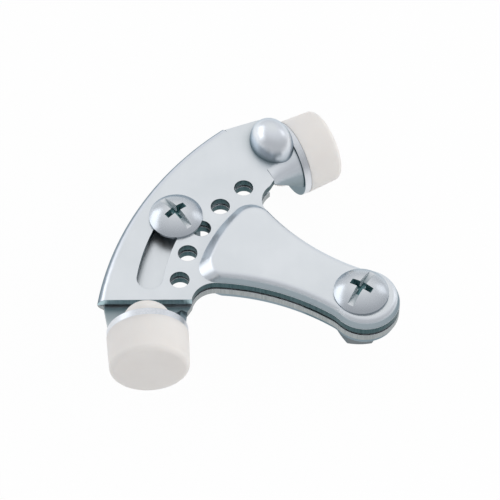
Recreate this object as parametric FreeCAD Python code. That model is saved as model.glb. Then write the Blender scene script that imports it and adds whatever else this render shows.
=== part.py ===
import FreeCAD, Part
import math
import os
from FreeCAD import Vector

# Hinge pin door stop: two like stampings, one turned over on the other, that swing about a pivot
# screw and are clamped by a screw in their curved slots. Each carries a bumper on a folded tab.
# Frame: origin on the pivot axis, midway between the plates. +Z points to the screw heads and
# +X along the arms to the fans. Lengths are in millimetres and angles in degrees.

# Sheet and stack
sheet_thickness = 2.0
plate_gap = 0.8

# Fan
fan_edge_radius = 88.0
fan_edge_setback = 21.7
fan_inner_radius = 43.8
fan_half_angle = 29.1
rim_width = 2.8
rim_clearance = 0.15
hole_circle_inset = 3.6
hole_diameter = 5.1
hole_pitch_angle = 10.7
hole_count = 5
slot_circle_inset = 11.4
slot_width = 6.9
slot_sweep = 21.8

# Arm
arm_waist_half_width = 7.75
arm_waist_distance = 9.7
arm_side_radius = 59.0
arm_root_fillet = 6.1
pivot_end_radius = 9.1
pivot_end_offset = 1.2
pivot_end_fillet = 7.0
pivot_hole_clearance = 0.05

# Raised panel of the arm
panel_rise = 2.8
panel_fan_gap = 0.4
panel_ramp = 3.0
panel_corner_radius = 5.0
panel_side_inset = 0.15
panel_side_slope = 0.75
panel_shoulder_radius = 1.9

# Folded tab that carries the bumper
tab_axis_angle = -123.0
tab_distance_x = 40.6
tab_distance_y = -39.5
tab_drop = 6.8
tab_radius = 10.4
tab_hole_diameter = 9.0
neck_root_radius = 66.8
neck_outer_half_width = 9.2
neck_corner_radius = 6.5
neck_inner_half_width = 6.8
neck_overlap_angle = 2.0
wall_length = 12.0
wall_reach = 10.6
wall_set_in = 0.6
wall_end_drop = 2.0
wall_bend_share = 0.65
wall_bend_drop = 0.35
wall_heel_share = 0.3
wall_heel_drop = 0.2
wall_lip_thinning = 0.8
wall_lip_drop = 0.6
dome_setback = 6.6
dome_shift = 0.8
dome_half_length = 5.6
dome_half_width = 7.1
dome_height = 7.2

# Bumper
bumper_diameter = 21.0
bumper_end_diameter = 20.4
bumper_length = 10.0
bumper_edge_radius = 1.5
bumper_fit_clearance = 0.05
bulb_diameter = 12.6
bulb_length = 7.5
bulb_shoulder_share = 0.25
bulb_tip_diameter = 4.0

# Screws and nuts
screw_diameter = 6.3
head_diameter = 14.3
head_height = 3.5
head_edge = 0.6
drive_slot_width = 1.7
drive_slot_depth = 1.9
drive_cross_span = 6.8
drive_cross_width = 1.8
drive_cross_depth = 2.5
drive_taper = 0.5
screw_tip_length = 1.4
screw_tip_chamfer = 0.7
nut_across_flats = 11.1
nut_height = 5.3
nut_bore_clearance = 0.05
pivot_drive_angle = 88.0
clamp_drive_angle = 158.0
nut_turn = -1.3

# Levels of the upper plate
plate_bottom = plate_gap / 2
plate_top = plate_bottom + sheet_thickness
panel_top = plate_top + panel_rise
tab_level = -tab_drop

# Circles of the fan's holes and slot
hole_circle_radius = fan_inner_radius + hole_circle_inset
slot_radius = fan_inner_radius + slot_circle_inset

origin = Vector(0, 0, 0)
up = Vector(0, 0, 1)
tab_axis = Vector(math.cos(math.radians(tab_axis_angle)), math.sin(math.radians(tab_axis_angle)), 0)
tab_across = Vector(-tab_axis.y, tab_axis.x, 0)
pivot_hole_radius = screw_diameter / 2 + pivot_hole_clearance


def polar(radius, angle, z=0.0):
    """Point at a radius and an angle round the pivot."""
    turn = math.radians(angle)
    return Vector(radius * math.cos(turn), radius * math.sin(turn), z)


def at_tab(outward, across, z):
    """Point measured from the middle of the tab's outer face, along and across the bumper's axis."""
    foot = Vector(tab_distance_x, tab_distance_y, z)
    return foot + tab_axis * outward + tab_across * across


def mirrored(point):
    return Vector(point.x, -point.y, point.z)


def circle_crossing(centre_a, radius_a, centre_b, radius_b, side):
    """Crossing of two circles in the plane, on the left (+1) or right (-1) going from a to b."""
    span = centre_b - centre_a
    distance = span.Length
    along = (distance ** 2 + radius_a ** 2 - radius_b ** 2) / (2 * distance)
    height = math.sqrt(radius_a ** 2 - along ** 2)
    unit = span * (1 / distance)
    return centre_a + unit * along + Vector(-unit.y, unit.x, 0) * (side * height)


def toward(start, target, length):
    """Point that lies a length from start in the direction of target."""
    step = target - start
    return start + step * (length / step.Length)


def arc_about(centre, start, end):
    """Arc of less than half a turn about a centre."""
    middle = (start - centre) + (end - centre)
    radius = (start - centre).Length
    return Part.Arc(start, centre + middle * (radius / middle.Length), end).toShape()


def line(start, end):
    return Part.LineSegment(start, end).toShape()


def loop(corners):
    """Closed run of straight edges through the corners."""
    return [line(start, end) for start, end in zip(corners, corners[1:] + corners[:1])]


def prism(edges, height):
    return Part.Face(Part.Wire(edges)).extrude(up * height)


def side_centre():
    """Centre of the hollow arc that forms the arm's side."""
    return Vector(arm_waist_distance, arm_waist_half_width + arm_side_radius, 0)


def pivot_end_centre():
    return Vector(-pivot_end_offset, 0, 0)


def arm_side_points(inset):
    """Tangent points along one side of the arm, from its fan end to its pivot end, set in by inset."""
    side = side_centre()
    end = pivot_end_centre()
    hollow = arm_side_radius + inset
    waist = circle_crossing(side, arm_side_radius - pivot_end_fillet, end,
                            pivot_end_radius + pivot_end_fillet, 1)
    waist_start = toward(side, waist, hollow)
    waist_end = toward(end, waist, pivot_end_radius - inset)
    return side, waist, waist_start, waist_end


def arm_loop(inset, fan_end, fan_edges, z):
    """Closed outline of the arm: the given fan edges, then both sides and the pivot end."""
    side, waist, waist_start, waist_end = arm_side_points(inset)
    end = pivot_end_centre()
    tip = end - Vector(pivot_end_radius - inset, 0, 0)
    edges = list(fan_edges)
    edges.append(arc_about(side, fan_end, waist_start))
    edges.append(arc_about(waist, waist_start, waist_end))
    edges.append(Part.Arc(waist_end, tip, mirrored(waist_end)).toShape())
    edges.append(arc_about(mirrored(waist), mirrored(waist_end), mirrored(waist_start)))
    edges.append(arc_about(mirrored(side), mirrored(waist_start), mirrored(fan_end)))
    wire = Part.Wire(edges)
    wire.translate(up * z)
    return wire


def root_centre():
    """Centre of the hollow fillet between the arm's side and the fan."""
    return circle_crossing(origin, fan_inner_radius - arm_root_fillet, side_centre(),
                           arm_side_radius - arm_root_fillet, -1)


def root_corner():
    """Point where the hollow fillet meets the radial cut at the fan's end."""
    root = root_centre()
    cut = polar(1.0, fan_half_angle)
    along = cut.dot(root)
    return cut * (along + math.sqrt(arm_root_fillet ** 2 - root.dot(root) + along ** 2))


def arm_base():
    """Flat arm with the hollow fillets that run out into the fan."""
    side = side_centre()
    root = root_centre()
    root_start = root_corner()
    root_end = toward(side, root, arm_side_radius)
    overlap = polar(fan_inner_radius + sheet_thickness, fan_half_angle)
    fan_edges = [
        arc_about(mirrored(root), mirrored(root_end), mirrored(root_start)),
        line(mirrored(root_start), mirrored(overlap)),
        arc_about(origin, mirrored(overlap), overlap),
        line(overlap, root_start),
        arc_about(root, root_start, root_end),
    ]
    outline = arm_loop(0.0, root_end, fan_edges, plate_bottom)
    return Part.Face(outline).extrude(up * sheet_thickness)


def panel_outline(fan_radius, inset, z):
    """Outline of the raised panel at one level."""
    side = side_centre()
    corner = circle_crossing(origin, fan_radius - panel_corner_radius, side,
                             arm_side_radius + inset + panel_corner_radius, -1)
    corner_start = toward(origin, corner, fan_radius)
    corner_end = toward(side, corner, arm_side_radius + inset)
    fan_edges = [
        arc_about(mirrored(corner), mirrored(corner_end), mirrored(corner_start)),
        arc_about(origin, mirrored(corner_start), corner_start),
        arc_about(corner, corner_start, corner_end),
    ]
    return arm_loop(inset, corner_end, fan_edges, z)


def edges_at_level(solid, z):
    return [edge for edge in solid.Edges if abs(edge.BoundBox.ZMin - z) + abs(edge.BoundBox.ZMax - z) < 1e-4]


def panel_boss():
    foot_radius = fan_inner_radius - panel_fan_gap
    foot = panel_outline(foot_radius, panel_side_inset, plate_top)
    top = panel_outline(foot_radius - panel_ramp, panel_side_inset + panel_side_slope, panel_top)
    boss = Part.makeLoft([foot, top], True, True)
    return boss.makeFillet(panel_shoulder_radius, edges_at_level(boss, panel_top))


def panel_pocket():
    """Hollow under the raised panel, a sheet thickness inside its outer faces."""
    ramp_tilt = math.atan2(panel_rise, panel_ramp)
    wall_tilt = math.atan2(panel_rise, panel_side_slope)
    foot_radius = fan_inner_radius - panel_fan_gap - sheet_thickness * math.tan(ramp_tilt / 2)
    foot_inset = panel_side_inset + sheet_thickness * math.tan(wall_tilt / 2)
    foot = panel_outline(foot_radius, foot_inset, plate_bottom)
    top = panel_outline(foot_radius - panel_ramp, foot_inset + panel_side_slope, plate_bottom + panel_rise)
    return Part.makeLoft([foot, top], True, True)


def fan():
    """Fan plate with its rounded outer rim, between the radial cuts of its two ends."""
    axis = Vector(-fan_edge_setback, 0, 0)
    edge = fan_edge_radius - fan_edge_setback
    shoulder = edge - rim_width
    drop = plate_top - rim_clearance
    bend_radius = (rim_width ** 2 + drop ** 2) / (2 * drop)
    bend_centre = Vector(shoulder, 0, plate_top - bend_radius)
    rim_inside = edge - sheet_thickness
    inside = fan_inner_radius - fan_edge_setback
    corners = [
        Vector(edge, 0, rim_clearance),
        Vector(rim_inside, 0, rim_clearance),
        Vector(rim_inside, 0, plate_bottom),
        Vector(inside, 0, plate_bottom),
        Vector(inside, 0, plate_top),
        Vector(shoulder, 0, plate_top),
    ]
    edges = [line(start, end) for start, end in zip(corners, corners[1:])]
    edges.append(arc_about(bend_centre, corners[-1], corners[0]))
    section = Part.Face(Part.Wire(edges))
    section.rotate(axis, up, -fan_half_angle)
    sheet = section.revolve(axis, up, 2 * fan_half_angle)
    window = Part.Face(Part.Wire(loop([
        Vector(fan_inner_radius, 0, 0),
        Vector(fan_edge_radius, 0, 0),
        Vector(fan_edge_radius, 0, panel_top),
        Vector(fan_inner_radius, 0, panel_top),
    ])))
    window.rotate(origin, up, -fan_half_angle)
    return sheet.common(window.revolve(origin, up, 2 * fan_half_angle))


def wall_radius():
    return tab_radius - wall_set_in


def wall_crease():
    """Distance across the tab at which its side wall meets the level of the neck's top."""
    return math.sqrt(wall_radius() ** 2 - (plate_top - tab_level) ** 2)


def neck():
    """Flat neck from the fan to the tab, with its free corner rounded."""
    inside_tab = -sheet_thickness / 2
    inside_fan = fan_half_angle - neck_overlap_angle
    near = mirrored(root_corner())
    near.z = plate_bottom
    far = polar(neck_root_radius, -fan_half_angle, plate_bottom)
    corner = at_tab(inside_tab, neck_outer_half_width, plate_bottom)
    tab_side = at_tab(inside_tab, -wall_crease(), plate_bottom)
    to_far = toward(origin, far - corner, 1.0)
    to_tab = toward(origin, tab_side - corner, 1.0)
    half_corner = to_far.getAngle(to_tab) / 2
    round_start = corner + to_tab * (neck_corner_radius / math.tan(half_corner))
    round_end = corner + to_far * (neck_corner_radius / math.tan(half_corner))
    round_centre = toward(corner, corner + to_far + to_tab, neck_corner_radius / math.sin(half_corner))
    corners = [
        round_end,
        far,
        polar(neck_root_radius - rim_width, -fan_half_angle, plate_bottom),
        polar(neck_root_radius - rim_width, -inside_fan, plate_bottom),
        polar(fan_inner_radius + sheet_thickness, -inside_fan, plate_bottom),
        near,
        at_tab(-wall_length, -wall_reach, plate_bottom),
        at_tab(-wall_length, -neck_inner_half_width, plate_bottom),
        tab_side,
        round_start,
    ]
    edges = [line(start, end) for start, end in zip(corners, corners[1:])]
    edges.append(arc_about(round_centre, round_start, round_end))
    return prism(edges, sheet_thickness)


def wall_section(outward, outer, inner):
    """Section of the side wall at a distance along the bumper's axis, from (across, z) points."""
    outer_points = [at_tab(outward, -across, z) for across, z in outer]
    inner_points = [at_tab(outward, -across, z) for across, z in inner]
    return Part.Wire([
        Part.Arc(*outer_points).toShape(),
        line(outer_points[-1], inner_points[-1]),
        Part.Arc(inner_points[-1], inner_points[1], inner_points[0]).toShape(),
        line(inner_points[0], outer_points[0]),
    ])


def ring_points(radius, top):
    """Three points round the tab's axis, from a level at the top down past the tab's middle."""
    start = math.asin((top - tab_level) / radius)
    end = -math.asin(wall_end_drop / radius)
    turns = (start, (start + end) / 2, end)
    return [(radius * math.cos(turn), tab_level + radius * math.sin(turn)) for turn in turns]


def side_wall():
    """Wall that turns down from the neck's inner edge and runs out round the tab."""
    spread = wall_reach - neck_inner_half_width
    heel = plate_top - sheet_thickness
    outer = [
        (neck_inner_half_width, plate_top),
        (neck_inner_half_width + wall_bend_share * spread, plate_top - wall_bend_drop * sheet_thickness),
        (wall_reach, heel),
    ]
    inner = [
        (neck_inner_half_width, heel),
        (neck_inner_half_width + wall_heel_share * spread, heel - wall_heel_drop * sheet_thickness),
        (wall_reach - wall_lip_thinning * sheet_thickness, heel - wall_lip_drop * sheet_thickness),
    ]
    first = wall_section(-wall_length, outer, inner)
    radius = wall_radius()
    last = wall_section(-sheet_thickness / 2, ring_points(radius, plate_top),
                        ring_points(radius - sheet_thickness, plate_bottom))
    return Part.makeLoft([first, last], True, True)


def tab():
    return Part.makeCylinder(tab_radius, sheet_thickness, at_tab(-sheet_thickness, 0, tab_level), tab_axis)


def oval_dome(set_in):
    """Oval ball that the pressed dome follows, set in by a wall thickness."""
    stretch = FreeCAD.Matrix()
    stretch.scale(dome_half_length - set_in, dome_half_width - set_in, dome_height - set_in)
    ball = Part.makeSphere(1.0).transformGeometry(stretch)
    middle = at_tab(-dome_setback, dome_shift, plate_top)
    ball.Placement = FreeCAD.Placement(middle, FreeCAD.Rotation(up, tab_axis_angle))
    return ball


def dome():
    """Pressed dome that stands on the neck and is closed off by the tab."""
    reach = 2 * dome_half_width
    above = Part.makeCylinder(reach, reach, at_tab(-dome_setback, dome_shift, plate_bottom), up)
    tab_middle = at_tab(-sheet_thickness / 2, dome_shift, plate_top)
    behind_tab = Part.makeCylinder(reach, reach, tab_middle, -tab_axis)
    return oval_dome(0.0).common(above).common(behind_tab)


def slot_cutter():
    """Curved slot from the plate's middle line towards its plain end."""
    half = slot_width / 2
    depth = 2 * sheet_thickness
    corners = [
        Vector(slot_radius - half, 0, 0),
        Vector(slot_radius + half, 0, 0),
        Vector(slot_radius + half, 0, depth),
        Vector(slot_radius - half, 0, depth),
    ]
    band = Part.Face(Part.Wire(loop(corners))).revolve(origin, up, slot_sweep)
    first = Part.makeCylinder(half, depth, polar(slot_radius, 0))
    last = Part.makeCylinder(half, depth, polar(slot_radius, slot_sweep))
    return band.fuse([first, last])


def hole_cutters():
    depth = 2 * sheet_thickness
    middle = (hole_count - 1) / 2
    angles = [(index - middle) * hole_pitch_angle for index in range(hole_count)]
    return [Part.makeCylinder(hole_diameter / 2, depth, polar(hole_circle_radius, angle)) for angle in angles]


def upper_plate():
    plate = fan().fuse([arm_base(), neck()])
    plate = plate.fuse([panel_boss(), dome(), tab(), side_wall()])
    pivot_hole = Part.makeCylinder(pivot_hole_radius, panel_top, origin)
    stem_hole = Part.makeCylinder(tab_hole_diameter / 2, 2 * sheet_thickness,
                                  at_tab(-1.5 * sheet_thickness, 0, tab_level), tab_axis)
    dome_hollow = oval_dome(sheet_thickness)
    plate = plate.cut([panel_pocket(), slot_cutter(), pivot_hole, stem_hole, dome_hollow] + hole_cutters())
    return plate.removeSplitter().Solids[0]


def turned(profile_edges, base, direction):
    """Solid of revolution about +Z, then stood on base with its axis along direction."""
    solid = Part.Face(Part.Wire(profile_edges)).revolve(origin, up, 360)
    solid.Placement = FreeCAD.Placement(base, FreeCAD.Rotation(up, direction))
    return solid


def bumper():
    """Bumper with a stem through the tab's hole and a bulb that snaps in behind the tab."""
    radius = bumper_diameter / 2
    end_radius = bumper_end_diameter / 2
    stem = tab_hole_diameter / 2 - bumper_fit_clearance
    bulb = bulb_diameter / 2
    behind = -sheet_thickness - bumper_fit_clearance
    face_middle = Vector(0, 0, bumper_length)
    face_edge = Vector(end_radius - bumper_edge_radius, 0, bumper_length)
    side_top = Vector(end_radius, 0, bumper_length - bumper_edge_radius)
    edge_centre = Vector(face_edge.x, 0, side_top.z)
    bulb_shoulder = Vector(bulb, 0, behind - bulb_length * bulb_shoulder_share)
    bulb_end = Vector(0, 0, behind - bulb_length)
    bulb_tip = Vector(bulb_tip_diameter / 2, 0, bulb_end.z)
    fall = bulb_tip.z - bulb_shoulder.z
    half_way = math.sqrt(0.5)
    bulb_middle = Vector(bulb_tip.x + (bulb - bulb_tip.x) * half_way, 0, bulb_shoulder.z + fall * half_way)
    lip = Vector((bulb + stem) / 2, 0, behind)
    edges = [
        line(face_middle, face_edge),
        arc_about(edge_centre, face_edge, side_top),
        line(side_top, Vector(radius, 0, 0)),
        line(Vector(radius, 0, 0), Vector(stem, 0, 0)),
        line(Vector(stem, 0, 0), Vector(stem, 0, behind)),
        line(Vector(stem, 0, behind), lip),
        line(lip, bulb_shoulder),
        Part.Arc(bulb_shoulder, bulb_middle, bulb_tip).toShape(),
        line(bulb_tip, bulb_end),
        line(bulb_end, face_middle),
    ]
    return turned(edges, at_tab(0, 0, tab_level), tab_axis)


def drive_recess(seat, angle):
    """Straight slot right across the head, with a tapered cross in its middle."""
    crown = seat + head_height
    slot_floor = crown - drive_slot_depth
    slot = Part.makeBox(head_diameter, drive_slot_width, head_height,
                        Vector(-head_diameter / 2, -drive_slot_width / 2, slot_floor))
    cutters = [slot]
    for turn in (0, 90):
        levels = ((crown, 1.0), (crown - drive_cross_depth, drive_taper))
        loops = []
        for z, share in levels:
            half_span = drive_cross_span / 2 * share
            half_width = drive_cross_width / 2 * share
            loops.append(Part.makePolygon([
                Vector(-half_span, -half_width, z),
                Vector(half_span, -half_width, z),
                Vector(half_span, half_width, z),
                Vector(-half_span, half_width, z),
                Vector(-half_span, -half_width, z),
            ]))
        wing = Part.makeLoft(loops, True, True)
        wing.rotate(origin, up, turn)
        cutters.append(wing)
    recess = cutters[0].fuse(cutters[1:])
    recess.rotate(origin, up, angle)
    return recess


def screw(seat, tip, angle):
    """Low domed screw whose head seats at one level and whose shank ends at another."""
    radius = screw_diameter / 2
    head = head_diameter / 2
    cap = head_height - head_edge
    sphere = (head ** 2 + cap ** 2) / (2 * cap)
    crown = Vector(0, 0, seat + head_height)
    rim = Vector(head, 0, seat + head_edge)
    cap_centre = Vector(0, 0, crown.z - sphere)
    tip_flat = radius - screw_tip_chamfer
    corners = [
        rim,
        Vector(head, 0, seat),
        Vector(radius, 0, seat),
        Vector(radius, 0, tip + screw_tip_chamfer),
        Vector(tip_flat, 0, tip),
        Vector(0, 0, tip),
        crown,
    ]
    edges = [line(start, end) for start, end in zip(corners, corners[1:])]
    edges.append(arc_about(cap_centre, crown, rim))
    return turned(edges, origin, up).cut(drive_recess(seat, angle)).Solids[0]


def nut(top):
    """Hexagon nut with chamfered corners, its top at a level."""
    corner = nut_across_flats / math.sqrt(3)
    chamfer = corner - nut_across_flats / 2
    points = [polar(corner, nut_turn + 30 + 60 * index, top - nut_height) for index in range(7)]
    hexagon = Part.Face(Part.makePolygon(points)).extrude(up * nut_height)
    bottom = top - nut_height
    fall = chamfer * math.tan(math.radians(30))
    profile = [
        Vector(0, 0, bottom),
        Vector(nut_across_flats / 2, 0, bottom),
        Vector(corner, 0, bottom + fall),
        Vector(corner, 0, top - fall),
        Vector(nut_across_flats / 2, 0, top),
        Vector(0, 0, top),
    ]
    body = hexagon.common(turned(loop(profile), origin, up))
    bore = Part.makeCylinder(screw_diameter / 2 + nut_bore_clearance, nut_height, Vector(0, 0, bottom))
    return body.cut(bore).Solids[0]


def turned_over(shape):
    """Copy turned half round about the arm's middle line, as the lower plate is."""
    copy = shape.copy()
    copy.rotate(origin, Vector(1, 0, 0), 180)
    return copy


def moved(shape, offset):
    copy = shape.copy()
    copy.translate(offset)
    return copy


os.makedirs("parts", exist_ok=True)

plate = upper_plate()
pad = bumper()
clamp_place = polar(slot_radius, 0)
pivot_nut_bottom = -panel_top - nut_height
clamp_nut_bottom = -plate_top - nut_height
clamp = screw(plate_top, clamp_nut_bottom - screw_tip_length, clamp_drive_angle)

parts = {
    "upper_plate": plate,
    "lower_plate": turned_over(plate),
    "upper_bumper": pad,
    "lower_bumper": turned_over(pad),
    "pivot_screw": screw(panel_top, pivot_nut_bottom - screw_tip_length, pivot_drive_angle),
    "pivot_nut": nut(-panel_top),
    "clamp_screw": moved(clamp, clamp_place),
    "clamp_nut": moved(nut(-plate_top), clamp_place),
}

for name, shape in parts.items():
    shape.exportStep("parts/" + name + ".step")
    print(name, shape.ShapeType, shape.isValid(), round(shape.Volume, 1), "mm3")
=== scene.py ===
import math

import bmesh
import bpy
import numpy as np
from mathutils import Matrix, Vector


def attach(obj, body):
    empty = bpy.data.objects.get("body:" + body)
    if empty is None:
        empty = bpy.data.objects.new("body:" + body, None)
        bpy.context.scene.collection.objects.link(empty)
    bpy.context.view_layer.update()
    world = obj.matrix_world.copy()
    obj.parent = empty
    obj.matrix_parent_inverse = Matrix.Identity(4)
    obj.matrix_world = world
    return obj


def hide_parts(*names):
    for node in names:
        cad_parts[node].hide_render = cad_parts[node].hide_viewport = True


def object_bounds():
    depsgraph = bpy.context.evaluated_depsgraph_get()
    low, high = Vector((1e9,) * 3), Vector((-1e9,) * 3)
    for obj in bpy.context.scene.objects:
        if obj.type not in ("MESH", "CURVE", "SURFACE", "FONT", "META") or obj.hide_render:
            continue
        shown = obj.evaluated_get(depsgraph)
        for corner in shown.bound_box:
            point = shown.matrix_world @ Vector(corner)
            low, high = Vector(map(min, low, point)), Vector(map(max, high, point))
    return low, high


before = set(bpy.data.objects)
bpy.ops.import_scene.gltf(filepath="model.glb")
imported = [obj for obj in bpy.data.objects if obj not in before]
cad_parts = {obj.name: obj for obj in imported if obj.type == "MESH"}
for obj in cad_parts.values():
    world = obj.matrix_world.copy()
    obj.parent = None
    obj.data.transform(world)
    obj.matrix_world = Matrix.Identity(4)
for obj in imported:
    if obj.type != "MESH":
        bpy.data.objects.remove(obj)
cad_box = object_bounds()

MM = 0.001

# Where the photograph was taken from, in millimetres about the pivot axis
CAMERA_PLACE = (-138.18, 311.76, 485.77)
CAMERA_AIM = (32.686, 0.059, 2.4)
CAMERA_LENS = 164.19
FILM_WIDTH = 36.0

# Plan directions of the picture: to its right and to its back
PICTURE_RIGHT = Vector((-0.8769, -0.4807, 0.0))
PICTURE_BACK = Vector((0.4807, -0.8769, 0.0))

# Pale scrim: its middle as shares back and up, and its tone by how nearly a direction meets that middle
SCRIM_BACK = 0.5925
SCRIM_UP = 0.8056
SCRIM_TONES = (
    (0.15, (0.48, 0.49, 0.505)),
    (0.5, (0.65, 0.66, 0.675)),
    (0.8, (0.78, 0.79, 0.805)),
    (0.97, (0.92, 0.925, 0.935)),
)

# Floor
FLOOR_HALF = 3.0
FLOOR_GAP = 0.2 * MM
FLOOR_GLOW = 0.96

# Stamped sheet
SHEET = 2.0 * MM
EDGE_ROUNDING = 0.12 * MM
EDGE_STEPS = 2
SHORTEST_CORNER = 0.02 * MM
HOLE_REACH = 5.6 * MM
SIDE_REACH = 10.0 * MM
FAN_CENTRE = 21.7 * MM
FAN_EDGE = 88.0 * MM
RIM_WIDTH = 3.0 * MM
FAN_SIDE = (-0.486, 0.874, 0.0)

# How surfaces of the solids are told apart
JOIN_REACH = 0.0005 * MM
LEVEL = 0.06
FLAT = 0.999
CUT_HEIGHT = 1.15 * SHEET
RIM_DEPTHS = (0.7 * SHEET, 1.08 * SHEET)
RIM_TURN = 0.8
HOLE_LEAN = 0.75
DOME_LEAN = 0.1
DOME_RISE = (0.3, 0.8)
CREASE = math.radians(34)
CORNER = math.radians(70)

# Kinds of surface on a stamping, in the order of their finishes, and those that were pressed and not cut
FACE, HOLE_WALL, TAB_RIM, ROLLED_RIM, OUTLINE, STRAIGHT_SIDE, DOME = range(7)
PRESSED = {FACE, ROLLED_RIM, DOME}

# Screws: quarter-inch coarse thread under a truss head
PIVOT_AXIS = (0.0, 0.0)
PIVOT_SEAT = 5.2 * MM
CLAMP_AXIS = (55.2 * MM, 0.0)
CLAMP_SEAT = 2.4 * MM
THREAD_CREST = 3.15 * MM
THREAD_CORE = 2.62 * MM
THREAD_PITCH = 1.27 * MM
THREAD_RUNOUT = 0.7 * MM
THREAD_SIDES = 48
THREAD_ROWS = 160
THREAD_JOIN = 0.002 * MM
HEAD_OVERLAP = 0.6 * MM
HEAD_LIFT = 0.05 * MM
SHANK_SLACK = 0.02 * MM
CROSS_REACH = 4.3 * MM
STEEP = 0.5

# Kinds of surface on a screw, in the order of their finishes; the shank is cut away
HEAD, CROSS, DRIVE_SLOT, SHANK = range(4)

# Colours of zinc: dark and pale mottle on level metal, then tones from upright metal up to level, which
# paint shade on steep metal and a highlight on tilted metal
SATIN_FLATS = ((0.735, 0.77, 0.797), (0.80, 0.83, 0.857))
SATIN_TILT_SHADES = (
    (0.0, (0.26, 0.31, 0.33)),
    (0.35, (0.34, 0.40, 0.44)),
    (0.62, (0.85, 0.89, 0.94)),
    (0.95, (0.84, 0.87, 0.91)),
)
# The roll along the fan's edge: a painted highlight just off level and painted shade where it turns down
ROLLED_TILT_SHADES = (
    (0.3, (0.16, 0.21, 0.24)),
    (0.72, (0.34, 0.39, 0.44)),
    (0.86, (0.84, 0.87, 0.93)),
    (0.97, (0.80, 0.83, 0.88)),
)
# Domes: a painted highlight on their middle slopes and painted shade low down
DOMED_TILT_SHADES = (
    (0.0, (0.40, 0.45, 0.49)),
    (0.3, (0.62, 0.67, 0.73)),
    (0.55, (0.89, 0.92, 0.96)),
    (0.95, (0.80, 0.83, 0.88)),
)
POLISHED_FLATS = ((0.66, 0.685, 0.715), (0.72, 0.745, 0.77))
POLISHED_TILT_SHADES = (
    (0.0, (0.37, 0.40, 0.43)),
    (0.35, (0.53, 0.57, 0.62)),
    (0.7, (0.62, 0.66, 0.71)),
    (0.95, (0.67, 0.70, 0.735)),
)
# Nuts: zinc painted darker all over as shade, with tones by tilt
NUT_FLATS_IN_SHADE = ((0.60, 0.62, 0.64), (0.68, 0.70, 0.72))
NUT_TILT_SHADES = (
    (0.0, (0.19, 0.21, 0.22)),
    (0.35, (0.27, 0.29, 0.30)),
    (0.7, (0.50, 0.53, 0.55)),
    (0.95, (0.60, 0.63, 0.65)),
)
ZINC_GLANCE = (0.52, 0.60, 0.65, 1.0)
# Dark teal painted as shade into crevices and into the pocket behind the fan
PAINTED_SHADE_TEAL = (0.10, 0.17, 0.19, 1.0)
CREVICE_REACH = 5.0 * MM

# Share of painted shade in the pocket behind the fan's side, by centimetres beyond that side
POCKET_PAINTED_SHADE = (
    (0.0, (0.0, 0.0, 0.0)),
    (0.08, (0.75, 0.75, 0.75)),
    (0.4, (0.6, 0.6, 0.6)),
    (0.8, (0.1, 0.1, 0.1)),
)
TO_CENTIMETRES = 100.0

# Satin roughness, from smooth to rough, and the strength of the fine grain
SATIN_GLOSS = (0.33, 0.38)
FINE_GRAIN = 0.015

# Most of a noise pattern lies between these
NOISE_LOW = 0.3
NOISE_HIGH = 0.7


def in_metres(point):
    return Vector(point) * MM


def set_camera():
    data = bpy.data.cameras.new("camera")
    data.sensor_width = FILM_WIDTH
    data.lens = CAMERA_LENS
    data.clip_start = 0.01
    data.clip_end = 20.0
    camera = bpy.data.objects.new("camera", data)
    camera.location = in_metres(CAMERA_PLACE)
    camera.rotation_euler = (in_metres(CAMERA_AIM) - camera.location).to_track_quat("-Z", "Y").to_euler()
    bpy.context.collection.objects.link(camera)
    bpy.context.scene.camera = camera


def softbox(name, right, back, up, width, height, brightness, colour, mirrored=True):
    """A softbox that stands off the object in picture directions, aimed at its middle."""
    aim = in_metres(CAMERA_AIM)
    data = bpy.data.lights.new(name, "AREA")
    data.shape = "RECTANGLE"
    data.size = width
    data.size_y = height
    data.energy = brightness * math.pi * width * height
    data.color = colour
    lamp = bpy.data.objects.new(name, data)
    lamp.location = aim + PICTURE_RIGHT * right + PICTURE_BACK * back + Vector((0.0, 0.0, up))
    lamp.rotation_euler = (aim - lamp.location).to_track_quat("-Z", "Y").to_euler()
    lamp.visible_glossy = mirrored
    bpy.context.collection.objects.link(lamp)


def link(tree, source, output, target, entry):
    tree.links.new(source.outputs[output], target.inputs[entry])


def new_tree(name):
    finish = bpy.data.materials.new(name)
    finish.use_nodes = True
    tree = finish.node_tree
    tree.nodes.clear()
    output = tree.nodes.new("ShaderNodeOutputMaterial")
    return finish, tree, output


def arithmetic(tree, operation, *terms):
    """Result of one sum on numbers and sockets."""
    node = tree.nodes.new("ShaderNodeMath")
    node.operation = operation
    for entry, term in zip(node.inputs, terms):
        if isinstance(term, (int, float)):
            entry.default_value = term
        else:
            tree.links.new(term, entry)
    return node.outputs["Value"]


def ramp(tree, stops):
    node = tree.nodes.new("ShaderNodeValToRGB")
    elements = node.color_ramp.elements
    while len(elements) < len(stops):
        elements.new(0.5)
    for element, (position, colour) in zip(elements, stops):
        element.position = position
        element.color = (*colour, 1.0)
    return node


def ramped(tree, source, stops):
    """Colour that the stops give for a socket's value."""
    node = ramp(tree, stops)
    tree.links.new(source, node.inputs["Fac"])
    return node.outputs["Color"]


def stretched(tree, source, start, end, low, high):
    """A socket's value from start to end, stretched to run from low to high and held there."""
    node = tree.nodes.new("ShaderNodeMapRange")
    node.inputs["From Min"].default_value = start
    node.inputs["From Max"].default_value = end
    node.inputs["To Min"].default_value = low
    node.inputs["To Max"].default_value = high
    tree.links.new(source, node.inputs["Value"])
    return node.outputs["Result"]


def mix_colours(tree, share):
    """Node that mixes two colours, with the places of its two entries and its result."""
    node = tree.nodes.new("ShaderNodeMix")
    node.data_type = "RGBA"
    tree.links.new(share, node.inputs[0])
    return node.inputs[6], node.inputs[7], node.outputs[2]


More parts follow.
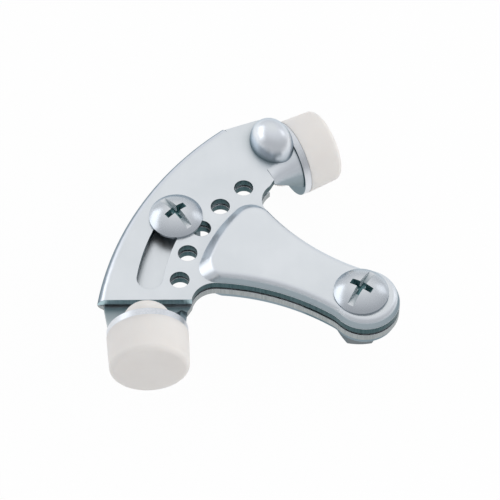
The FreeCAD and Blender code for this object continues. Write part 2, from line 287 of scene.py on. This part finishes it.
def noise(tree, coordinates, scale, detail, stretch=None, turn=0.0):
    node = tree.nodes.new("ShaderNodeTexNoise")
    node.inputs["Scale"].default_value = scale
    node.inputs["Detail"].default_value = detail
    if stretch is None:
        link(tree, coordinates, "Object", node, "Vector")
        return node.outputs["Fac"]
    mapping = tree.nodes.new("ShaderNodeMapping")
    mapping.vector_type = "TEXTURE"
    mapping.inputs["Scale"].default_value = stretch
    mapping.inputs["Rotation"].default_value = (0.0, 0.0, turn)
    link(tree, coordinates, "Object", mapping, "Vector")
    link(tree, mapping, "Vector", node, "Vector")
    return node.outputs["Fac"]


def set_skin(tree, shader, pattern, gloss, relief, strength, depth):
    """Gives a shader its uneven gloss by one noise pattern and its fine relief by another."""
    smooth, rough = gloss
    uneven = stretched(tree, pattern, NOISE_LOW, NOISE_HIGH, smooth, rough)
    tree.links.new(uneven, shader.inputs["Roughness"])
    bump = tree.nodes.new("ShaderNodeBump")
    bump.inputs["Strength"].default_value = strength
    bump.inputs["Distance"].default_value = depth
    tree.links.new(relief, bump.inputs["Height"])
    link(tree, bump, "Normal", shader, "Normal")


def tilt_shaded_colour(tree, coordinates, flats, slopes):
    """Mottled colour on level metal that goes over to tones by tilt as the metal tilts: painted shade on
    steep metal, a painted highlight on tilted metal.
    """
    dark, pale = flats
    mottle = noise(tree, coordinates, scale=70.0, detail=4.0)
    even = ramped(tree, mottle, ((NOISE_LOW, dark), (NOISE_HIGH, pale)))
    geometry = tree.nodes.new("ShaderNodeNewGeometry")
    split = tree.nodes.new("ShaderNodeSeparateXYZ")
    link(tree, geometry, "Normal", split, "Vector")
    rise = arithmetic(tree, "ABSOLUTE", split.outputs["Z"])
    # Tones by tilt paint shade on steep metal and a highlight on tilted metal
    tilt_shades = ramped(tree, rise, slopes)
    tilt = stretched(tree, rise, 0.995, 0.93, 0.0, 1.0)
    level, tilted, colour = mix_colours(tree, tilt)
    tree.links.new(even, level)
    tree.links.new(tilt_shades, tilted)
    return colour


def painted_shade_share(tree, coordinates, pocket):
    """How far painted shade covers the metal: darkened by ambient occlusion in crevices, and in the pocket
    that lies beyond the given side.
    """
    # Ambient occlusion on the plate's own hollows paints shade there
    crevice = tree.nodes.new("ShaderNodeAmbientOcclusion")
    crevice.samples = 8
    crevice.only_local = True
    crevice.inputs["Distance"].default_value = CREVICE_REACH
    depth = stretched(tree, crevice.outputs["AO"], 0.9, 0.35, 0.0, 0.85)
    if pocket is None:
        return depth
    # Painted shade in the pocket that lies beyond the given side
    beyond = tree.nodes.new("ShaderNodeVectorMath")
    beyond.operation = "DOT_PRODUCT"
    beyond.inputs[1].default_value = pocket
    link(tree, coordinates, "Object", beyond, 0)
    centimetres = arithmetic(tree, "MULTIPLY", beyond.outputs["Value"], TO_CENTIMETRES)
    return arithmetic(tree, "MAXIMUM", depth, ramped(tree, centimetres, POCKET_PAINTED_SHADE))


def zinc(name, flats, slopes, gloss, grain=FINE_GRAIN, pocket=None):
    """Zinc plate: mottled flats, tones by tilt that paint shade and highlight on rounded metal, painted
    shade in crevices and a satin grain.
    """
    finish, tree, output = new_tree(name)
    shader = tree.nodes.new("ShaderNodeBsdfPrincipled")
    shader.inputs["Metallic"].default_value = 1.0
    shader.inputs["Specular Tint"].default_value = ZINC_GLANCE
    coordinates = tree.nodes.new("ShaderNodeTexCoord")
    # The zinc colour is mixed towards dark teal where shade is painted
    unshaded_colour, shaded_entry, colour = mix_colours(tree, painted_shade_share(tree, coordinates, pocket))
    tree.links.new(tilt_shaded_colour(tree, coordinates, flats, slopes), unshaded_colour)
    shaded_entry.default_value = PAINTED_SHADE_TEAL
    tree.links.new(colour, shader.inputs["Base Color"])
    streaks = noise(tree, coordinates, scale=600.0, detail=3.0, stretch=(1.0, 8.0, 1.0), turn=0.5)
    fine = noise(tree, coordinates, scale=2600.0, detail=2.0)
    set_skin(tree, shader, streaks, gloss, fine, strength=grain, depth=0.02 * MM)
    link(tree, shader, "BSDF", output, "Surface")
    return finish


def sheared(name, dark, pale, gloss):
    """Cut edge of the sheet, with the fine upright lines that the shear leaves."""
    finish, tree, output = new_tree(name)
    shader = tree.nodes.new("ShaderNodeBsdfPrincipled")
    shader.inputs["Metallic"].default_value = 1.0
    coordinates = tree.nodes.new("ShaderNodeTexCoord")
    lines = noise(tree, coordinates, scale=2200.0, detail=3.0, stretch=(1.0, 1.0, 14.0))
    tree.links.new(ramped(tree, lines, ((0.32, dark), (0.68, pale))), shader.inputs["Base Color"])
    set_skin(tree, shader, lines, gloss, lines, strength=0.25, depth=0.05 * MM)
    link(tree, shader, "BSDF", output, "Surface")
    return finish


def bumper_rubber():
    """Milky off-white rubber with a soft moulded skin."""
    finish, tree, output = new_tree("milky rubber")
    shader = tree.nodes.new("ShaderNodeBsdfPrincipled")
    shader.inputs["Subsurface Weight"].default_value = 0.4
    shader.inputs["Subsurface Radius"].default_value = (1.0, 0.92, 0.85)
    shader.inputs["Subsurface Scale"].default_value = 2.5 * MM
    shader.inputs["Specular IOR Level"].default_value = 0.3
    coordinates = tree.nodes.new("ShaderNodeTexCoord")
    cloud = noise(tree, coordinates, scale=120.0, detail=3.0)
    milk = ((NOISE_LOW, (0.83, 0.795, 0.765)), (NOISE_HIGH, (0.86, 0.83, 0.80)))
    tree.links.new(ramped(tree, cloud, milk), shader.inputs["Base Color"])
    skin = noise(tree, coordinates, scale=700.0, detail=3.0)
    set_skin(tree, shader, skin, (0.46, 0.58), skin, strength=0.12, depth=0.05 * MM)
    link(tree, shader, "BSDF", output, "Surface")
    return finish


def floor_paint():
    """Pale paint that shows white to the camera and in reflections, and keeps a little of the shadow."""
    finish, tree, output = new_tree("pale floor")
    paint = tree.nodes.new("ShaderNodeBsdfDiffuse")
    paint.inputs["Color"].default_value = (0.9, 0.9, 0.9, 1.0)
    glow = tree.nodes.new("ShaderNodeEmission")
    glow.inputs["Color"].default_value = (1.0, 1.0, 1.0, 1.0)
    glow.inputs["Strength"].default_value = 1.0
    rays = tree.nodes.new("ShaderNodeLightPath").outputs
    seen = arithmetic(tree, "MAXIMUM", rays["Is Camera Ray"], rays["Is Glossy Ray"])
    through = arithmetic(tree, "MAXIMUM", seen, rays["Is Transmission Ray"])
    mix = tree.nodes.new("ShaderNodeMixShader")
    tree.links.new(arithmetic(tree, "MULTIPLY", through, FLOOR_GLOW), mix.inputs["Fac"])
    tree.links.new(paint.outputs["BSDF"], mix.inputs[1])
    tree.links.new(glow.outputs["Emission"], mix.inputs[2])
    link(tree, mix, "Shader", output, "Surface")
    return finish


def white_floor():
    """A wide pale floor just under the object's lowest point."""
    mesh = bpy.data.meshes.new("floor")
    half = FLOOR_HALF
    level = cad_box[0][2] - FLOOR_GAP
    corners = ((-half, -half, level), (half, -half, level), (half, half, level), (-half, half, level))
    mesh.from_pydata(corners, (), ((0, 1, 2, 3),))
    mesh.materials.append(floor_paint())
    floor = bpy.data.objects.new("floor", mesh)
    bpy.context.collection.objects.link(floor)


def scrim():
    """A pale scrim above and behind the object that falls off to the sides."""
    world = bpy.data.worlds.new("studio")
    world.use_nodes = True
    tree = world.node_tree
    tree.nodes.clear()
    output = tree.nodes.new("ShaderNodeOutputWorld")
    sky = tree.nodes.new("ShaderNodeBackground")
    coordinates = tree.nodes.new("ShaderNodeTexCoord")
    toward = tree.nodes.new("ShaderNodeVectorMath")
    toward.operation = "DOT_PRODUCT"
    toward.inputs[1].default_value = PICTURE_BACK * SCRIM_BACK + Vector((0.0, 0.0, SCRIM_UP))
    link(tree, coordinates, "Generated", toward, 0)
    tree.links.new(ramped(tree, toward.outputs["Value"], SCRIM_TONES), sky.inputs["Color"])
    sky.inputs["Strength"].default_value = 1.0
    link(tree, sky, "Background", output, "Surface")
    bpy.context.scene.world = world


def lamps():
    """A softbox at each hand, and two fills that only soft surfaces show."""
    softbox("left softbox", right=-0.72, back=0.26, up=0.30, width=0.80, height=0.42,
            brightness=1.0, colour=(0.96, 0.98, 1.0))
    softbox("right softbox", right=0.66, back=0.42, up=0.32, width=0.30, height=0.40,
            brightness=0.55, colour=(0.97, 0.98, 1.0))
    softbox("front fill", right=0.05, back=-0.60, up=0.45, width=0.60, height=0.50,
            brightness=0.55, colour=(1.0, 0.99, 0.97), mirrored=False)
    softbox("right fill", right=0.65, back=-0.09, up=0.28, width=0.40, height=0.40,
            brightness=2.8, colour=(1.0, 0.99, 0.97), mirrored=False)


def face_patches(mesh):
    """Groups a node's triangles by the smooth face of the solid that they came from."""
    parent = list(range(len(mesh.vertices)))

    def root(index):
        while parent[index] != index:
            parent[index] = parent[parent[index]]
            index = parent[index]
        return index

    for polygon in mesh.polygons:
        first = root(polygon.vertices[0])
        for vertex in polygon.vertices[1:]:
            parent[root(vertex)] = first
    groups = {}
    for polygon in mesh.polygons:
        groups.setdefault(root(polygon.vertices[0]), []).append(polygon.index)
    return list(groups.values())


def patch_shape(mesh, patch):
    """Points and face normals of one patch."""
    points = np.array([mesh.vertices[v].co for p in patch for v in mesh.polygons[p].vertices])
    normals = np.array([mesh.polygons[p].normal for p in patch])
    return points, normals


def plan_reach(points):
    return np.ptp(points[:, :2], axis=0).max()


def is_flat(normals):
    return np.linalg.norm(normals.mean(axis=0)) > FLAT


def is_cut_edge(points, normals):
    """True for an upright face about as tall as the sheet is thick: the sheared outline, holes and slot."""
    return np.abs(normals[:, 2]).max() < LEVEL and np.ptp(points[:, 2]) < CUT_HEIGHT


def is_tab_rim(points, normals):
    """True for the round rim of the folded tab, which is a sheet's thickness along a level axis."""
    axis = np.linalg.svd(normals)[2][2]
    depth = np.ptp(points @ axis)
    turns = np.ptp(normals[:, 2])
    return abs(axis[2]) < LEVEL and turns > RIM_TURN and RIM_DEPTHS[0] < depth < RIM_DEPTHS[1]


def is_hole_wall(points, normals):
    """True for a patch that turns about and is small enough in plan to be the wall of one index hole."""
    return plan_reach(points) < HOLE_REACH and np.linalg.norm(normals.mean(axis=0)) < HOLE_LEAN


def is_straight_side(points, normals):
    """True for the long straight cut at either side of the fan."""
    return is_flat(normals) and plan_reach(points) > SIDE_REACH


def is_rolled_rim(points):
    """True for the roll along the fan's outer edge, which keeps to the edge's own circle."""
    reach = np.hypot(points[:, 0] + FAN_CENTRE, points[:, 1])
    return reach.min() > FAN_EDGE - RIM_WIDTH


def is_dome(normals):
    """True for a dome, whose slopes face every way about its top."""
    lean = normals.mean(axis=0)
    return np.linalg.norm(lean[:2]) < DOME_LEAN and DOME_RISE[0] < abs(lean[2]) < DOME_RISE[1]


def stamping_kind(points, normals):
    """Kind of surface that a patch of a stamping is."""
    if is_cut_edge(points, normals):
        if is_hole_wall(points, normals):
            return HOLE_WALL
        return STRAIGHT_SIDE if is_straight_side(points, normals) else OUTLINE
    if is_tab_rim(points, normals):
        return TAB_RIM
    if is_dome(normals):
        return DOME
    return ROLLED_RIM if is_rolled_rim(points) else FACE


def merged_copy(node, kind_of):
    """Copy of a CAD node with its triangles joined and each face given the number of its finish."""
    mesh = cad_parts[node].data.copy()
    mesh.materials.clear()
    for patch in face_patches(mesh):
        kind = kind_of(*patch_shape(mesh, patch))
        for index in patch:
            mesh.polygons[index].material_index = kind
    work = bmesh.new()
    work.from_mesh(mesh)
    bmesh.ops.remove_doubles(work, verts=work.verts, dist=JOIN_REACH)
    return mesh, work


def finished(name, mesh, work, finishes, body, node):
    """Turns the worked mesh into a shown piece that stands for its CAD node."""
    work.to_mesh(mesh)
    work.free()
    mesh.name = name
    for finish in finishes:
        mesh.materials.append(finish)
    for polygon in mesh.polygons:
        polygon.use_smooth = True
    piece = bpy.data.objects.new(name, mesh)
    bpy.context.collection.objects.link(piece)
    shading = piece.modifiers.new("even shading", "WEIGHTED_NORMAL")
    shading.keep_sharp = True
    shading.weight = 100
    settled = piece.evaluated_get(bpy.context.evaluated_depsgraph_get())
    piece.data = bpy.data.meshes.new_from_object(settled)
    piece.modifiers.clear()
    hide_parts(node)
    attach(piece, body)


def kinds_beside(edge):
    return {face.material_index for face in edge.link_faces}


def set_creases(work, flowing, rounded=()):
    """Keeps a crisp line where the surface turns sharply or its finish changes.

    Kinds in flowing run smoothly into each other, and edges about to be rounded are left alone.
    """
    rounded = set(rounded)
    for edge in work.edges:
        if len(edge.link_faces) != 2 or edge in rounded:
            continue
        kinds = kinds_beside(edge)
        turned = edge.calc_face_angle(0.0) > CREASE
        edge.smooth = not turned and (len(kinds) == 1 or kinds <= flowing)


def sheared_corners(work):
    """Outer corners along the cut edges of a stamping."""
    corners = []
    for edge in work.edges:
        if len(edge.link_faces) != 2 or edge.calc_length() < SHORTEST_CORNER:
            continue
        sharp = edge.is_convex and edge.calc_face_angle(0.0) > CORNER
        if sharp and not kinds_beside(edge) <= PRESSED:
            corners.append(edge)
    return corners


def stamped_plate(node, body, finishes):
    """Stamping with its sheared edges slightly rounded and finished apart from its faces."""
    mesh, work = merged_copy(node, stamping_kind)
    corners = sheared_corners(work)
    set_creases(work, PRESSED, corners)
    bmesh.ops.bevel(work, geom=corners, offset=EDGE_ROUNDING, offset_type="OFFSET", segments=EDGE_STEPS,
                    profile=0.5, affect="EDGES", clamp_overlap=False, material=-1, loop_slide=False)
    finished(node + "_stamping", mesh, work, finishes, body, node)


def thread_place(tree, grid_place, given):
    """Place on the shank for a point of the grid: round it by column, along it by row, out by the ridge."""
    last = THREAD_ROWS - 1
    split = tree.nodes.new("ShaderNodeSeparateXYZ")
    tree.links.new(grid_place, split.inputs["Vector"])
    turn = arithmetic(tree, "ADD", split.outputs["X"], 0.5)
    share = arithmetic(tree, "ADD", split.outputs["Y"], 0.5)
    row = arithmetic(tree, "ROUND", arithmetic(tree, "MULTIPLY", share, last))

    # The first and last rows close the ends, at the same height as the rows beside them
    step = arithmetic(tree, "MAXIMUM", arithmetic(tree, "SUBTRACT", row, 1), 0)
    along = arithmetic(tree, "DIVIDE", arithmetic(tree, "MINIMUM", step, last - 2), last - 2)
    length = arithmetic(tree, "SUBTRACT", given["Tip"], given["Top"])
    height = arithmetic(tree, "MULTIPLY_ADD", along, length, given["Top"])

    phase = arithmetic(tree, "SUBTRACT", arithmetic(tree, "DIVIDE", height, given["Pitch"]), turn)
    ridge = arithmetic(tree, "MULTIPLY", arithmetic(tree, "PINGPONG", phase, 0.5), 2.0)
    above_tip = arithmetic(tree, "SUBTRACT", height, given["Tip"])
    runout = arithmetic(tree, "MINIMUM", arithmetic(tree, "DIVIDE", above_tip, given["Runout"]), 1.0)
    tall = arithmetic(tree, "MULTIPLY", ridge, runout)
    depth = arithmetic(tree, "SUBTRACT", given["Crest"], given["Core"])
    radius = arithmetic(tree, "MULTIPLY_ADD", tall, depth, given["Core"])
    after_first = arithmetic(tree, "GREATER_THAN", row, 0.5)
    before_last = arithmetic(tree, "LESS_THAN", row, last - 0.5)
    reach = arithmetic(tree, "MULTIPLY", radius, arithmetic(tree, "MULTIPLY", after_first, before_last))

    angle = arithmetic(tree, "MULTIPLY", turn, 2.0 * math.pi)
    join = tree.nodes.new("ShaderNodeCombineXYZ")
    across = arithmetic(tree, "MULTIPLY", reach, arithmetic(tree, "COSINE", angle))
    aside = arithmetic(tree, "MULTIPLY", reach, arithmetic(tree, "SINE", angle))
    for socket, entry in ((across, "X"), (aside, "Y"), (height, "Z")):
        tree.links.new(socket, join.inputs[entry])
    return join


def thread_tree(name, titles, finish):
    """Nodes that bend a grid of points into a threaded shank, with the identifiers of their entries."""
    tree = bpy.data.node_groups.new(name, "GeometryNodeTree")
    tree.interface.new_socket("Geometry", in_out="OUTPUT", socket_type="NodeSocketGeometry")
    entries = {}
    for title in titles:
        socket = tree.interface.new_socket(title, in_out="INPUT", socket_type="NodeSocketFloat")
        entries[title] = socket.identifier
    given = tree.nodes.new("NodeGroupInput")
    result = tree.nodes.new("NodeGroupOutput")
    grid = tree.nodes.new("GeometryNodeMeshGrid")
    grid.inputs["Size X"].default_value = 1.0
    grid.inputs["Size Y"].default_value = 1.0
    grid.inputs["Vertices X"].default_value = THREAD_SIDES + 1
    grid.inputs["Vertices Y"].default_value = THREAD_ROWS
    place = tree.nodes.new("GeometryNodeInputPosition")
    bent = thread_place(tree, place.outputs["Position"], given.outputs)
    shaped = tree.nodes.new("GeometryNodeSetPosition")
    link(tree, grid, "Mesh", shaped, "Geometry")
    link(tree, bent, "Vector", shaped, "Position")
    closed = tree.nodes.new("GeometryNodeMergeByDistance")
    closed.inputs["Distance"].default_value = THREAD_JOIN
    link(tree, shaped, "Geometry", closed, "Geometry")
    real = tree.nodes.new("GeometryNodeRealizeInstances")
    link(tree, closed, "Geometry", real, "Geometry")
    dressed = tree.nodes.new("GeometryNodeSetMaterial")
    dressed.inputs["Material"].default_value = finish
    link(tree, real, "Geometry", dressed, "Geometry")
    link(tree, dressed, "Geometry", result, "Geometry")
    return tree, entries


def threaded_shank(name, top, tip, finish):
    """Mesh of a screw's shank about the Z axis, from inside its head to its tip."""
    sizes = {
        "Crest": THREAD_CREST,
        "Core": THREAD_CORE,
        "Pitch": THREAD_PITCH,
        "Top": top,
        "Tip": tip,
        "Runout": THREAD_RUNOUT,
    }
    tree, entries = thread_tree(name, sizes, finish)
    maker = bpy.data.objects.new(name, bpy.data.meshes.new(name))
    bpy.context.collection.objects.link(maker)
    modifier = maker.modifiers.new("thread", "NODES")
    modifier.node_group = tree
    for title, size in sizes.items():
        modifier[entries[title]] = size
    settled = maker.evaluated_get(bpy.context.evaluated_depsgraph_get())
    mesh = bpy.data.meshes.new_from_object(settled)
    maker.modifiers.clear()
    bpy.data.objects.remove(maker)
    for polygon in mesh.polygons:
        polygon.material_index = HEAD
    return mesh


def screw(node, body, axis, seat, finishes):
    """Truss-head screw with a drive recess painted dark as shade and a cut thread in place of the plain
    shank.
    """
    def kind_of(points, normals):
        reach = np.linalg.norm(points[:, :2] - np.array(axis), axis=1).max()
        if points[:, 2].max() < seat + SHANK_SLACK and reach < THREAD_CREST + SHANK_SLACK:
            return SHANK
        if points[:, 2].min() < seat + HEAD_LIFT or not is_flat(normals):
            return HEAD
        if reach < CROSS_REACH:
            return CROSS
        return DRIVE_SLOT if abs(normals[:, 2].mean()) < STEEP else HEAD

    mesh, work = merged_copy(node, kind_of)
    shank = [face for face in work.faces if face.material_index == SHANK]
    tip = min(vertex.co.z for face in shank for vertex in face.verts)
    bmesh.ops.delete(work, geom=shank, context="FACES")
    opening = [edge for edge in work.edges if len(edge.link_faces) == 1]
    bmesh.ops.holes_fill(work, edges=opening, sides=0)
    thread = threaded_shank(node + " thread", seat + HEAD_OVERLAP, tip, finishes[HEAD])
    thread.transform(Matrix.Translation((*axis, 0.0)))
    work.from_mesh(thread)
    bmesh.ops.recalc_face_normals(work, faces=work.faces)
    set_creases(work, {HEAD})
    finished(node + "_cut", mesh, work, finishes, body, node)


def dress(node, finish):
    """Gives a CAD node that keeps its own mesh a better finish."""
    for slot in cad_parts[node].material_slots:
        slot.material = finish


# Copies of one zinc whose tilt tones paint different shade and highlight: faces, rolled rim, domes and
# screw heads
satin = zinc("satin zinc", SATIN_FLATS, SATIN_TILT_SHADES, SATIN_GLOSS)
# The lower plate's zinc, with shade painted into the pocket behind the fan's side
pocket_shaded_satin = zinc("satin zinc with a dull pocket", SATIN_FLATS, SATIN_TILT_SHADES, SATIN_GLOSS, pocket=FAN_SIDE)
rolled = zinc("rolled zinc", SATIN_FLATS, ROLLED_TILT_SHADES, SATIN_GLOSS)
domed = zinc("domed zinc", SATIN_FLATS, DOMED_TILT_SHADES, (0.30, 0.35))
polished = zinc("polished zinc", POLISHED_FLATS, POLISHED_TILT_SHADES, (0.24, 0.30))
# The nuts' zinc is darkened as painted shade
shaded = zinc("dull zinc", NUT_FLATS_IN_SHADE, NUT_TILT_SHADES, (0.30, 0.40), grain=0.03)
# Sheared edge painted dark teal as shade: hole walls of both plates and the upper plate's outline
shade_painted_edge = sheared("teal sheared edge", (0.030, 0.070, 0.080), (0.075, 0.135, 0.150), (0.35, 0.5))
pale_edge = sheared("pale sheared edge", (0.31, 0.34, 0.345), (0.45, 0.48, 0.485), (0.4, 0.55))
# Straight sides of the fan painted a pale teal as a reflection
reflection_painted_side = sheared("side sheared edge", (0.43, 0.60, 0.64), (0.60, 0.76, 0.80), (0.4, 0.55))
# Rims of the folded tabs painted bright as a highlight
highlight_painted_edge = sheared("bright sheared edge", (0.70, 0.73, 0.765), (0.80, 0.82, 0.86), (0.35, 0.45))
# The drive recess painted dark teal as shade
recess = sheared("dull drive recess", (0.10, 0.21, 0.23), (0.22, 0.38, 0.40), (0.5, 0.65))
# Walls of the drive slot painted brighter than the head as a highlight
highlight_painted_slot_wall = sheared("drive slot wall", (0.84, 0.87, 0.89), (0.93, 0.95, 0.96), (0.5, 0.65))
rubber = bumper_rubber()

set_camera()
white_floor()
scrim()
lamps()

# The upper plate's outline takes the edge painted dark as shade; the lower plate's outline keeps the pale
# sheared tone
stamped_plate("upper_plate", "upper",
              (satin, shade_painted_edge, highlight_painted_edge, rolled, shade_painted_edge, reflection_painted_side, domed))
stamped_plate("lower_plate", "lower",
              (pocket_shaded_satin, shade_painted_edge, highlight_painted_edge, rolled, pale_edge, reflection_painted_side, domed))
dress("upper_bumper", rubber)
dress("lower_bumper", rubber)
screw("pivot_screw", "lower", PIVOT_AXIS, PIVOT_SEAT, (polished, recess, highlight_painted_slot_wall))
screw("clamp_screw", "clamp", CLAMP_AXIS, CLAMP_SEAT, (polished, recess, highlight_painted_slot_wall))
dress("pivot_nut", shaded)
dress("clamp_nut", shaded)

bpy.context.scene.view_settings.view_transform = "Standard"
